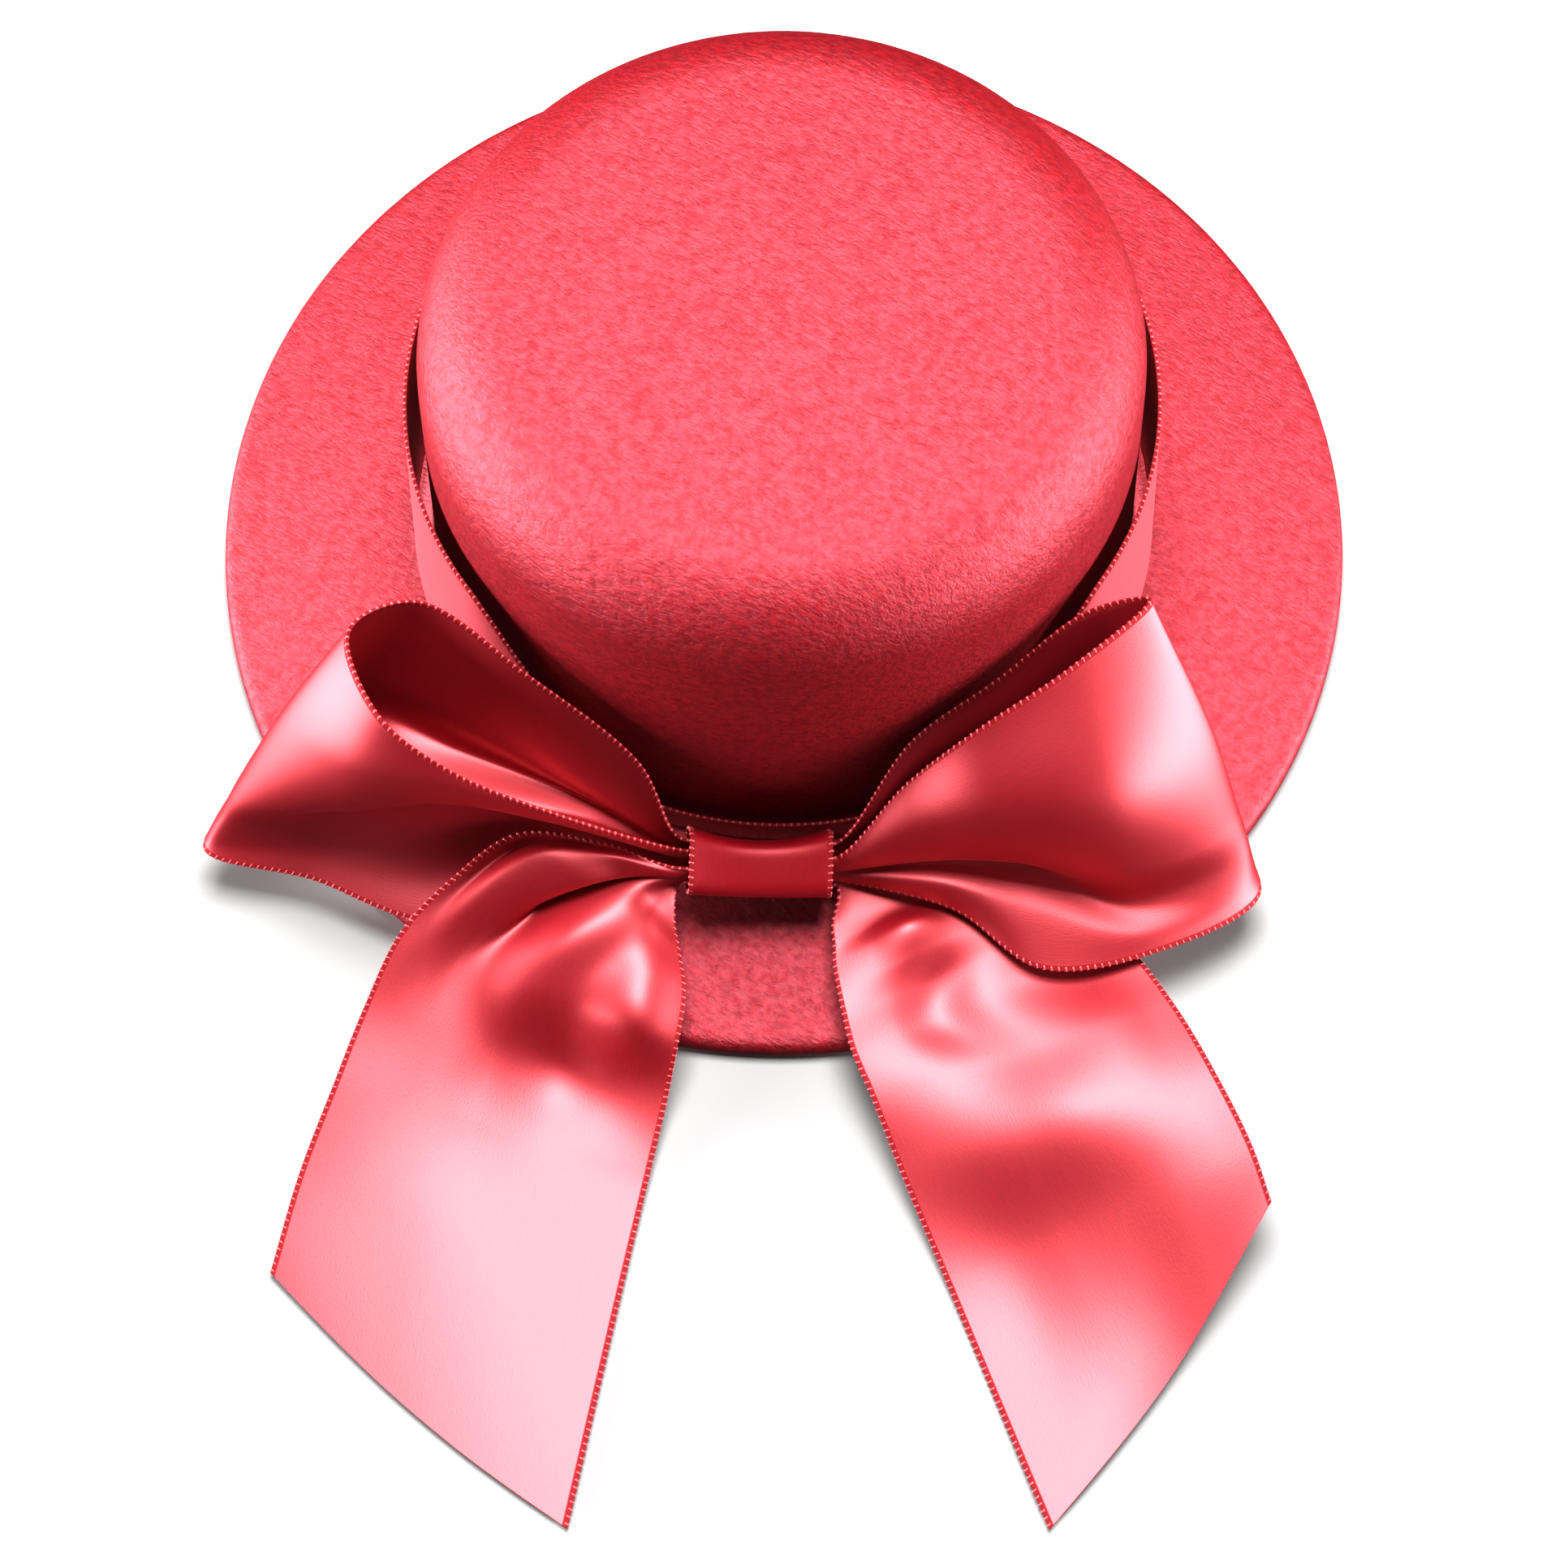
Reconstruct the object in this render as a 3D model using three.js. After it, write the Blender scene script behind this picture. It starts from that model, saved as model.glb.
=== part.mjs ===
// Small felt hat for the hair, a fascinator, with a satin ribbon tied round its crown in a bow.
// Millimetres, +Z up. The front, where the bow is, faces -Y, and the hat stands on its brim at Z = 0.
// Left and right are as seen from the front.
import * as THREE from "three";
import { mergeVertices } from "three/addons/utils/BufferGeometryUtils.js";

// Felt hat: crown and brim are pressed from one blank of felt.
const BRIM_RADIUS = 65;
const BRIM_EDGE = 2.6; // thickness of the felt at the rim
const BRIM_SLOPE = THREE.MathUtils.degToRad(8.5); // the brim falls from the crown to the rim
const REST_WIDTH = 3; // flat ring under the rim that lies on a table
const FELT_WALL = 2.4;
const HAT_HEIGHT = 54;
const CROWN_BASE_RADIUS = 40;
const CROWN_TOP_RADIUS = 39.4; // where the straight side meets the shoulder
const SHOULDER_RADIUS = 11;
const CROWN_DOME = 0.6; // how far the top rises to its middle
const BASE_FILLET = 3; // the felt turns from crown into brim
const HAT_SIDES = 48;
const HAT_ARC_STEPS = 3;

// Satin ribbon, 38 mm wide in the bow. Its walls are as thick as a folded hem.
const RIBBON_WALL = 1;

// Ribbon band round the crown: its foot stands out on the brim, and it is drawn down to the knot in front.
const BAND_BOTTOM = 7.6;
const BAND_TOP = 34;
const BAND_TOP_AT_KNOT = 13.5;
const BAND_RADIUS = 41.4; // at its top, and all of it behind the knot
const BAND_FOOT_RADIUS = 42.3;
const BAND_NEAR_KNOT = THREE.MathUtils.degToRad(18); // the band is lowest inside this angle from the front
const BAND_FULL_HEIGHT = THREE.MathUtils.degToRad(56); // past this angle it has its full height
const BAND_SEGMENTS = 60;
const BAND_ROWS = 3;

// Knot: a short ribbon wrapped round the gathered middle of the bow, pulled in at its waist.
const KNOT_CENTRE = new THREE.Vector3(-3.2, -46.6, 12.4);
const KNOT_LENGTH = 15.6;
const KNOT_DEPTH = 8.6;
const KNOT_HEIGHT = 10.6;
const KNOT_SQUARE = 2.5; // 2 is an oval section, more is squarer
const KNOT_WAIST = 0.17; // share of its size that the middle loses
const KNOT_SAG = [0, -0.5, -0.6]; // how the middle hangs forward and down
const KNOT_ROLL = THREE.MathUtils.degToRad(5); // its right end hangs a little lower
const KNOT_TILT = THREE.MathUtils.degToRad(-15); // its top leans back
const KNOT_STEPS = 6;
const KNOT_SIDES = 20;

// Hair clip: a flat sprung strip sewn under the back of the crown opening.
const CLIP_LENGTH = 38;
const CLIP_WIDTH = 9;
const CLIP_WALL = 1.1;
const CLIP_MIDDLE_Y = 37.4;
const CLIP_TOP_Z = 2.65;

// Each row below is one section across the ribbon, in order along it. low and top are its two edges.
// share and out place its fold lines: the share of the way from low to top, and how far the cloth stands
// out of the straight line there. A loop runs from the knot along its front panel, round the bend and back
// along the panel that leans on the crown.
const LOOP_LEFT = [
  { low: [-9, -46.6, 9.8], top: [-9, -46.6, 15.2],
    share: [0.2, 0.5, 0.8, 0.92], out: [0, 0, 0, 0] },
  { low: [-12, -46.5, 9.6], top: [-12, -46.6, 16],
    share: [0.2, 0.5, 0.8, 0.92], out: [-0.2, -0.2, 0.1, 0.1] },
  { low: [-24, -45.2, 8], top: [-25.4, -45.6, 24],
    share: [0.22, 0.58, 0.84, 0.93], out: [-3, -2.6, 0.1, 0.2] },
  { low: [-39.5, -50.6, 6.4], top: [-36.2, -43.2, 30.2],
    share: [0.2, 0.6, 0.8, 0.92], out: [-6, -4.6, 0.1, 0.6] },
  { low: [-53, -45.4, 6.4], top: [-43.4, -38.4, 34.2],
    share: [0.13, 0.34, 0.47, 0.74], out: [-2.6, -2.8, 1, 2] },
  { low: [-65, -41.6, 6.6], top: [-46.4, -29.2, 35.8],
    share: [0.06, 0.14, 0.25, 0.6], out: [0, 0.2, 0.6, 1] },
  { low: [-57, -33, 7], top: [-39.4, -25.8, 35.4],
    share: [0.3, 0.42, 0.58, 0.8], out: [0.2, 0.2, 0, -0.3] },
  { low: [-40, -32.5, 8.5], top: [-27.6, -32.9, 31.6],
    share: [0.4, 0.42, 0.6, 0.82], out: [-8, -3, -3, -1.4] },
  { low: [-23, -39, 9.5], top: [-16, -39.7, 23.6],
    share: [0.44, 0.48, 0.6, 0.8], out: [-4.6, -2.4, -3, -1.4] },
  { low: [-12, -45.2, 9.9], top: [-12, -45.1, 16],
    share: [0.3, 0.42, 0.6, 0.8], out: [0, 0, 0, 0] },
  { low: [-9, -45.2, 11], top: [-9, -45.2, 14.8],
    share: [0.3, 0.42, 0.6, 0.8], out: [0, 0, 0, 0] },
];
const LOOP_RIGHT = [
  { low: [2.4, -47.5, 10.4], top: [2.4, -47.5, 14.4],
    share: [0.2, 0.34, 0.46, 0.72], out: [0, 0, 0, 0] },
  { low: [5.6, -47.9, 10], top: [5.6, -47.2, 15],
    share: [0.2, 0.34, 0.46, 0.72], out: [0.1, -0.5, 0.1, 0.4] },
  { low: [18.2, -51.6, 10], top: [12.8, -42.6, 23.4],
    share: [0.2, 0.29, 0.44, 0.72], out: [0, -2.2, 0.4, 1.6] },
  { low: [27.4, -58.2, 8.8], top: [20.6, -39.4, 30.6],
    share: [0.2, 0.35, 0.45, 0.7], out: [-2.6, -5.6, -0.6, 2.4] },
  { low: [39.8, -56.4, 8.2], top: [30, -34.4, 34.4],
    share: [0.06, 0.16, 0.3, 0.58], out: [-0.5, -2.8, 0.4, 3.4] },
  { low: [52.2, -48.6, 6.6], top: [39, -26.6, 35.4],
    share: [0.05, 0.15, 0.26, 0.54], out: [0, 0.4, 0.7, 1.4] },
  { low: [46, -39, 7], top: [32.6, -27.6, 34.8],
    share: [0.15, 0.3, 0.5, 0.86], out: [0.3, 0.6, 0.8, -0.4] },
  { low: [31, -38, 8], top: [22.6, -33.8, 30.8],
    share: [0.2, 0.4, 0.6, 0.86], out: [0.4, 0.2, -0.2, -1.2] },
  { low: [17.5, -42.4, 9.6], top: [13.6, -38.5, 25.9],
    share: [0.2, 0.4, 0.6, 0.85], out: [0, -0.3, -0.4, -1] },
  { low: [5.6, -45.8, 10], top: [5.6, -45.5, 15],
    share: [0.2, 0.4, 0.6, 0.85], out: [0, 0, 0, 0] },
  { low: [2.4, -46.1, 10.4], top: [2.4, -46.1, 14.8],
    share: [0.2, 0.4, 0.6, 0.85], out: [0, 0, 0, 0] },
];
// A tail runs from the knot over the brim to its slanting cut end on the table. low is its inner edge,
// towards the other tail, top its outer edge, and bow is how far the middle of the cut stands forward.
const TAIL_LEFT = [
  { low: [-9, -48, 10.9], top: [-9, -48, 14.3],
    share: [0.1, 0.25, 0.42, 0.54, 0.6, 0.82, 0.93], out: [0, 0, 0, 0, 0, 0, 0] },
  { low: [-12, -48.2, 10.6], top: [-12.2, -48.2, 14.6],
    share: [0.1, 0.25, 0.46, 0.6, 0.58, 0.84, 0.93], out: [0.1, -0.1, 0.4, -0.3, 0.2, 0.4, 0] },
  { low: [-12.6, -52, 8.8], top: [-20.5, -45, 14.4],
    share: [0.12, 0.25, 0.5, 0.66, 0.6, 0.86, 0.95], out: [0, 0.2, 0.6, -2, 0.8, 1.6, 0.4] },
  { low: [-12, -56, 8.6], top: [-29.5, -44.2, 15.4],
    share: [0.12, 0.25, 0.44, 0.64, 0.54, 0.84, 0.93], out: [0.4, 0.2, 0.8, -3.6, 0.2, 1.4, -1.4] },
  { low: [-11.5, -60.5, 8.4], top: [-37, -48.4, 12.6],
    share: [0.15, 0.33, 0.53, 0.71, 0.64, 0.87, 0.94], out: [1.6, -0.2, 0.4, -3, -0.8, 0.4, -0.4] },
  { low: [-12.2, -65.4, 7.4], top: [-42.6, -53.6, 10.2],
    share: [0.15, 0.36, 0.55, 0.7, 0.78, 0.87, 0.94], out: [1.8, -0.6, -0.7, -1.8, -1.6, -0.6, -0.2] },
  { low: [-13.6, -71, 3.4], top: [-46.6, -61, 7],
    share: [0.18, 0.36, 0.56, 0.68, 0.77, 0.86, 0.94], out: [-1.2, -2.2, -0.8, -0.3, -0.1, 0, 0] },
  { low: [-15.6, -79, 1.2], top: [-50, -69.4, 4.8],
    share: [0.2, 0.36, 0.56, 0.68, 0.77, 0.86, 0.94], out: [-0.4, -0.5, 0, 0.2, 0.2, 0.2, 0.1] },
  { low: [-19, -94, 0.7], top: [-53.6, -78.8, 2.6],
    share: [0.2, 0.36, 0.56, 0.68, 0.77, 0.86, 0.94], out: [0.2, 0.4, 0.5, 0.4, 0.3, 0.2, 0.1] },
  { low: [-24.2, -118, 0.7], top: [-56.5, -89.4, 0.9],
    share: [0.2, 0.36, 0.56, 0.68, 0.77, 0.86, 0.94], out: [0, 0, 0, 0, 0, 0, 0], bow: 1.6 },
];
const TAIL_RIGHT = [
  { low: [2.4, -47.6, 9.3], top: [2.4, -45.8, 9.3],
    share: [0.2, 0.4, 0.6, 0.75, 0.9], out: [0, 0, 0, 0, 0] },
  { low: [5.4, -48.4, 9], top: [5.4, -45.2, 8.9],
    share: [0.2, 0.4, 0.6, 0.75, 0.9], out: [0, 0, 0, 0, 0] },
  { low: [4.8, -52.5, 8.2], top: [12.7, -46.3, 7.6],
    share: [0.25, 0.45, 0.6, 0.75, 0.9], out: [0.3, 0.8, 0.6, 0.3, 0] },
  { low: [4.9, -55, 8], top: [19.2, -46.5, 7],
    share: [0.2, 0.42, 0.6, 0.78, 0.92], out: [0.2, 0.5, 0.6, 0.4, 0.1] },
  { low: [4.9, -57.3, 7.9], top: [25.1, -47.2, 6.8],
    share: [0.2, 0.4, 0.58, 0.75, 0.92], out: [0.3, 0.9, 1.2, 0.9, 0.3] },
  { low: [5.3, -60.3, 7.9], top: [29.1, -48.8, 6.7],
    share: [0.18, 0.38, 0.58, 0.75, 0.9], out: [0.2, 0, 0.6, 0.8, 0.3] },
  { low: [5.8, -63.2, 7.8], top: [33.2, -51.3, 6.6],
    share: [0.18, 0.36, 0.56, 0.76, 0.9], out: [-0.2, -1.2, 0, 0.4, 0] },
  { low: [6.6, -66.8, 7.3], top: [37.4, -55, 6.6],
    share: [0.16, 0.32, 0.5, 0.82, 0.93], out: [0.3, 0.6, 1.1, -0.4, -0.2] },
  { low: [8.8, -72.2, 6.2], top: [42, -62.5, 8],
    share: [0.2, 0.38, 0.56, 0.78, 0.92], out: [1.1, 1.4, 1.3, 0.9, 0.3] },
  { low: [11.6, -79.3, 3.9], top: [46, -71.1, 9.2],
    share: [0.2, 0.38, 0.56, 0.75, 0.9], out: [0.9, 1.7, 2, 1.4, 0.6] },
  { low: [16.8, -92.2, 0.8], top: [49.4, -78.9, 8.6],
    share: [0.2, 0.38, 0.56, 0.75, 0.9], out: [-0.5, 0.2, 0.7, 1.2, 0.7] },
  { low: [26.6, -118.8, 0.8], top: [51.3, -85, 7.4],
    share: [0.2, 0.38, 0.56, 0.75, 0.9], out: [-1, -2, -2.5, -1.4, -0.4], bow: 1.4 },
];

// Steps along a whole ribbon, and across it between two fold lines.
const LOOP_STEPS = 28;
const LOOP_SPAN_STEPS = 3;
const TAIL_STEPS = 24;
const TAIL_SPAN_STEPS = 2;

const felt = new THREE.MeshStandardMaterial({ color: 0xe0394f, roughness: 0.95, metalness: 0 });
const satin = new THREE.MeshStandardMaterial({ color: 0xd8283e, roughness: 0.35, metalness: 0 });
const steel = new THREE.MeshStandardMaterial({ color: 0xc4c6c8, roughness: 0.35, metalness: 1 });

// Closed geometry from vertices and triangles.
function solidFrom(vertices, triangles) {
  const geometry = new THREE.BufferGeometry().setFromPoints(vertices);
  geometry.setIndex(triangles);
  return geometry;
}

// Unit normals of a grid of points, from the steps between neighbours. A ring closes on itself.
function gridNormals(grid, ring) {
  const count = grid.length;
  const at = (i) => (ring ? grid[(i + count) % count] : grid[THREE.MathUtils.clamp(i, 0, count - 1)]);
  return grid.map((row, i) =>
    row.map((_, j) => {
      const along = at(i + 1)[j].clone().sub(at(i - 1)[j]);
      const across = row[Math.min(j + 1, row.length - 1)].clone().sub(row[Math.max(j - 1, 0)]);
      return across.cross(along).normalize();
    }),
  );
}

// A sheet of cloth as a closed wall: the grid is its middle surface, and a ring closes on itself.
function sheetSolid(grid, wall, ring = false) {
  const normals = gridNormals(grid, ring);
  const rows = grid.length;
  const columns = grid[0].length;
  const vertices = [];
  for (const face of [0.5, -0.5]) {
    grid.forEach((row, i) =>
      row.forEach((point, j) => vertices.push(point.clone().addScaledVector(normals[i][j], face * wall))),
    );
  }
  const front = (i, j) => (i % rows) * columns + j;
  const back = (i, j) => rows * columns + front(i, j);
  const triangles = [];
  const quad = (a, b, c, d) => triangles.push(a, b, c, a, c, d);
  const spans = ring ? rows : rows - 1;
  for (let i = 0; i < spans; i++) {
    for (let j = 0; j < columns - 1; j++) {
      quad(front(i, j), front(i, j + 1), front(i + 1, j + 1), front(i + 1, j));
      quad(back(i, j), back(i + 1, j), back(i + 1, j + 1), back(i, j + 1));
    }
    quad(front(i, 0), front(i + 1, 0), back(i + 1, 0), back(i, 0));
    const last = columns - 1;
    quad(front(i, last), back(i, last), back(i + 1, last), front(i + 1, last));
  }
  if (!ring) {
    const end = rows - 1;
    for (let j = 0; j < columns - 1; j++) {
      quad(front(0, j), back(0, j), back(0, j + 1), front(0, j + 1));
      quad(front(end, j), front(end, j + 1), back(end, j + 1), back(end, j));
    }
  }
  return solidFrom(vertices, triangles);
}

// The points of one section: its edges, and its fold lines between them.
function sectionPoints(rows, index, side) {
  const middle = (row) =>
    new THREE.Vector3(...row.low).add(new THREE.Vector3(...row.top)).multiplyScalar(0.5);
  const row = rows[index];
  const low = new THREE.Vector3(...row.low);
  const chord = new THREE.Vector3(...row.top).sub(low);
  const before = middle(rows[Math.max(index - 1, 0)]);
  const along = middle(rows[Math.min(index + 1, rows.length - 1)]).sub(before);
  const outward = chord.clone().cross(along).normalize().multiplyScalar(side);
  along.normalize().multiplyScalar(row.bow ?? 0);
  const outs = [0, ...row.out, 0];
  return [0, ...row.share, 1].map((share, k) => {
    const point = low.clone().addScaledVector(chord, share).addScaledVector(outward, outs[k]);
    return point.addScaledVector(along, Math.sin(Math.PI * share));
  });
}

// Middle surface of a ribbon, lofted along its edges and fold lines through the rows of a section table.
function ribbonGrid(rows, steps, spanSteps, side) {
  const smooth = (points) => new THREE.CatmullRomCurve3(points, false, "centripetal");
  const sections = rows.map((_, index) => sectionPoints(rows, index, side));
  const rails = sections[0].map((_, k) => smooth(sections.map((section) => section[k])));
  const grid = [];
  for (let i = 0; i <= steps; i++) {
    const section = rails.map((rail) => rail.getPoint(i / steps));
    grid.push(smooth(section).getPoints(spanSteps * (section.length - 1)));
  }
  return grid;
}

// A ribbon as a closed wall. side is 1 where the section tables count outwards as on the left of the bow.
function ribbon(rows, steps, spanSteps, side) {
  return sheetSolid(ribbonGrid(rows, steps, spanSteps, side), RIBBON_WALL);
}

// Half section of the hat, from the middle of the crown's top down to the rim and back up the inside.
function feltBody() {
  const sideTop = HAT_HEIGHT - CROWN_DOME - SHOULDER_RADIUS;
  const shoulderMiddle = CROWN_TOP_RADIUS - SHOULDER_RADIUS;
  const rimMiddle = BRIM_RADIUS - BRIM_EDGE / 2;
  const filletMiddle = CROWN_BASE_RADIUS + BASE_FILLET;
  const filletZ =
    BRIM_EDGE +
    BASE_FILLET * Math.cos(BRIM_SLOPE) +
    (rimMiddle - filletMiddle + BASE_FILLET * Math.sin(BRIM_SLOPE)) * Math.tan(BRIM_SLOPE);
  const insideRadius = CROWN_BASE_RADIUS - FELT_WALL;
  const outline = new THREE.Path();
  outline.moveTo(0, HAT_HEIGHT);
  outline.quadraticCurveTo(shoulderMiddle / 2, HAT_HEIGHT, shoulderMiddle, HAT_HEIGHT - CROWN_DOME);
  outline.absarc(shoulderMiddle, sideTop, SHOULDER_RADIUS, Math.PI / 2, 0, true);
  outline.lineTo(CROWN_BASE_RADIUS, filletZ);
  outline.absarc(filletMiddle, filletZ, BASE_FILLET, Math.PI, 1.5 * Math.PI - BRIM_SLOPE, false);
  outline.absarc(rimMiddle, BRIM_EDGE / 2, BRIM_EDGE / 2, Math.PI / 2, -Math.PI / 2, true);
  outline.lineTo(rimMiddle - REST_WIDTH, 0);
  outline.lineTo(filletMiddle, filletZ - BASE_FILLET - FELT_WALL);
  outline.quadraticCurveTo(insideRadius, filletZ - BASE_FILLET, insideRadius, filletZ);
  outline.lineTo(CROWN_TOP_RADIUS - FELT_WALL, sideTop);
  outline.absarc(shoulderMiddle, sideTop, SHOULDER_RADIUS - FELT_WALL, 0, Math.PI / 2, false);
  outline.lineTo(0, HAT_HEIGHT - FELT_WALL);
  const profile = outline.getPoints(HAT_ARC_STEPS);
  const turned = new THREE.LatheGeometry(profile.reverse(), HAT_SIDES).rotateX(Math.PI / 2);
  turned.deleteAttribute("normal");
  turned.deleteAttribute("uv");
  return mergeVertices(turned);
}

// The band is a ring of ribbon whose top edge dips in front, where it is gathered behind the knot.
function ribbonBand() {
  const grid = [];
  for (let i = 0; i < BAND_SEGMENTS; i++) {
    const fromFront = (i / BAND_SEGMENTS) * 2 * Math.PI;
    const away = Math.min(fromFront, 2 * Math.PI - fromFront);
    const share = THREE.MathUtils.smoothstep(away, BAND_NEAR_KNOT, BAND_FULL_HEIGHT);
    const top = THREE.MathUtils.lerp(BAND_TOP_AT_KNOT, BAND_TOP, share);
    const footRadius = THREE.MathUtils.lerp(BAND_RADIUS, BAND_FOOT_RADIUS, share);
    const row = [];
    for (let j = 0; j <= BAND_ROWS; j++) {
      const rise = j / BAND_ROWS;
      const radius = THREE.MathUtils.lerp(footRadius, BAND_RADIUS, rise);
      const z = THREE.MathUtils.lerp(BAND_BOTTOM, top, rise);
      row.push(new THREE.Vector3(radius * Math.sin(fromFront), -radius * Math.cos(fromFront), z));
    }
    grid.push(row);
  }
  return sheetSolid(grid, RIBBON_WALL, true);
}

// A sine or cosine reshaped so that the oval it draws is squarer.
function squared(wave) {
  return Math.sign(wave) * Math.abs(wave) ** (2 / KNOT_SQUARE);
}

// The knot's wrap: a squarish oval in the YZ plane, carried along X and pulled in at the middle.
function bowKnot() {
  const grid = [];
  for (let i = 0; i < KNOT_SIDES; i++) {
    const angle = (i / KNOT_SIDES) * 2 * Math.PI;
    const y = (squared(Math.cos(angle)) * (KNOT_DEPTH - RIBBON_WALL)) / 2;
    const z = (squared(Math.sin(angle)) * (KNOT_HEIGHT - RIBBON_WALL)) / 2;
    const row = [];
    for (let j = 0; j <= KNOT_STEPS; j++) {
      const along = j / KNOT_STEPS - 0.5;
      const middle = 1 - 4 * along * along;
      const waist = 1 - KNOT_WAIST * middle;
      const point = new THREE.Vector3(along * KNOT_LENGTH, y * waist, z * waist);
      point.applyAxisAngle(new THREE.Vector3(1, 0, 0), KNOT_TILT);
      row.push(point.addScaledVector(new THREE.Vector3(...KNOT_SAG), middle));
    }
    grid.push(row);
  }
  return sheetSolid(grid, RIBBON_WALL, true);
}

// The clip: a flat strip with round ends, extruded upwards.
function hairClip() {
  const reach = (CLIP_LENGTH - CLIP_WIDTH) / 2;
  const outline = new THREE.Shape();
  outline.absarc(reach, 0, CLIP_WIDTH / 2, -Math.PI / 2, Math.PI / 2, false);
  outline.absarc(-reach, 0, CLIP_WIDTH / 2, Math.PI / 2, 1.5 * Math.PI, false);
  return new THREE.ExtrudeGeometry(outline, { depth: CLIP_WALL, bevelEnabled: false, curveSegments: 8 });
}

const hat = new THREE.Group();

function addPiece(name, geometry, material) {
  const piece = new THREE.Mesh(geometry, material);
  piece.name = name;
  hat.add(piece);
  return piece;
}

addPiece("felt_body", feltBody(), felt);
addPiece("ribbon_band", ribbonBand(), satin);
addPiece("bow_loop_left", ribbon(LOOP_LEFT, LOOP_STEPS, LOOP_SPAN_STEPS, 1), satin);
addPiece("bow_loop_right", ribbon(LOOP_RIGHT, LOOP_STEPS, LOOP_SPAN_STEPS, -1), satin);
addPiece("bow_tail_left", ribbon(TAIL_LEFT, TAIL_STEPS, TAIL_SPAN_STEPS, 1), satin);
addPiece("bow_tail_right", ribbon(TAIL_RIGHT, TAIL_STEPS, TAIL_SPAN_STEPS, -1), satin);
const knot = addPiece("bow_knot", bowKnot(), satin);
knot.position.copy(KNOT_CENTRE);
knot.rotation.y = KNOT_ROLL;
const clip = addPiece("hair_clip", hairClip(), steel);
clip.position.set(0, CLIP_MIDDLE_Y, CLIP_TOP_Z - CLIP_WALL);

// The origin is the middle of the footprint, on the table.
const footprint = new THREE.Box3().setFromObject(hat);
const middle = footprint.getCenter(new THREE.Vector3());
hat.position.set(-middle.x, -middle.y, -footprint.min.z);

export default hat;
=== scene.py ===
import math

import bpy
import numpy as np
from mathutils import Matrix, Vector, noise


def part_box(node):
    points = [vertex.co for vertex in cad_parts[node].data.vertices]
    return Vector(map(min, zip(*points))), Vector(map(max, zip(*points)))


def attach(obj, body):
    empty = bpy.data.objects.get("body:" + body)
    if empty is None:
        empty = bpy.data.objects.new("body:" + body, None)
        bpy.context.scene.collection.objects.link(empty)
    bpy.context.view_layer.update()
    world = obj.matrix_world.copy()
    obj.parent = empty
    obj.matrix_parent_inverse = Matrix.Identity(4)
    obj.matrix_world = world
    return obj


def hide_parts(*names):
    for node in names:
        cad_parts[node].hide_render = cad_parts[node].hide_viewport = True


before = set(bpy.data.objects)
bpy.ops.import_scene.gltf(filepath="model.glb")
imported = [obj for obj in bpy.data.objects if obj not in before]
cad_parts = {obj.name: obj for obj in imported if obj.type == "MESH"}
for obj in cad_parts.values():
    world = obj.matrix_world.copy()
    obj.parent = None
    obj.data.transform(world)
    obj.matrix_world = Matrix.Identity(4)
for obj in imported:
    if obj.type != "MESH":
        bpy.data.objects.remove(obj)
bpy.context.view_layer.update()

MM = 0.001

# The crown's axis in the frame, in millimetres. Sizes and sections below are counted from it.
felt_low, felt_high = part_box("felt_body")
AXIS = np.array([(felt_low.x + felt_high.x) / 2, (felt_low.y + felt_high.y) / 2, 0]) / MM

# Felt hat, in millimetres.
BRIM_RADIUS = 65
BRIM_EDGE = 2.6
BRIM_SLOPE = math.radians(8.5)
REST_WIDTH = 3
FELT_WALL = 2.4
HAT_HEIGHT = 54
CROWN_BASE_RADIUS = 40
CROWN_TOP_RADIUS = 39.4
SHOULDER_RADIUS = 11
CROWN_DOME = 0.6
BASE_FILLET = 3
FELT_SIDES = 448
FELT_STEP = 0.6
UNDER_STEP = 4 * FELT_STEP
DOME_POINTS = 12
SHOULDER_POINTS = 16
FILLET_POINTS = 8
RIM_POINTS = 10
INNER_POINTS = 10
INNER_CORNER_OUT = 1.2  # the inner corner of crown and brim is cut off by this much
INNER_CORNER_DOWN = 0.6
SHARP_ANGLE = math.radians(55)  # edges sharper than this stay crisp
NAP_DEPTH = 0.04  # height of the felt's soft ridges
NAP_ANGLE = math.radians(-35)  # the ridges run this way across the hat
NAP_LENGTH = 1.4
NAP_WIDTH = 0.5
NAP_ON_SIDE = 0.35  # share of the ridges' height that upright felt keeps
SMOOTH_RINGS = 4  # rings at the foot of the rim, which have no ridges

# Satin ribbon, in millimetres.
RIBBON_WIDTH = 38
SATIN_WALL = 0.36
LOOP_STEPS = 180
TAIL_STEPS = 140
SPAN_STEPS = 14  # steps between two fold lines
PICOT_PITCH = 0.8
PICOT_LENGTH = 0.62
PICOT_WIDTH = 0.4
PICOT_PROUD = 0.05
PICOT_OVERHANG = 0.12

# Ribbon band round the crown.
BAND_BOTTOM = 7.6
BAND_TOP = 34
BAND_TOP_AT_KNOT = 10.5
BAND_RADIUS = 41.4
BAND_FOOT_RADIUS = 42.3
BAND_NEAR_KNOT = math.radians(18)
BAND_FULL_HEIGHT = math.radians(56)
BAND_SEGMENTS = 360
BAND_ROWS = 24

# Knot wrap.
KNOT_CENTRE = (-3.2, -46.6, 12.4)
KNOT_LENGTH = 15.6
KNOT_DEPTH = 7
KNOT_HEIGHT = 7
KNOT_SQUARE = 4.5  # 2 is an oval, more is squarer
KNOT_WAIST = 0.17
KNOT_SAG = (0, -0.5, -0.9)  # how the middle hangs down and forward
KNOT_ROLL = math.radians(5)
KNOT_TILT = math.radians(-62)  # the top leans back
KNOT_STEPS = 40
KNOT_SIDES = 64

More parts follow.
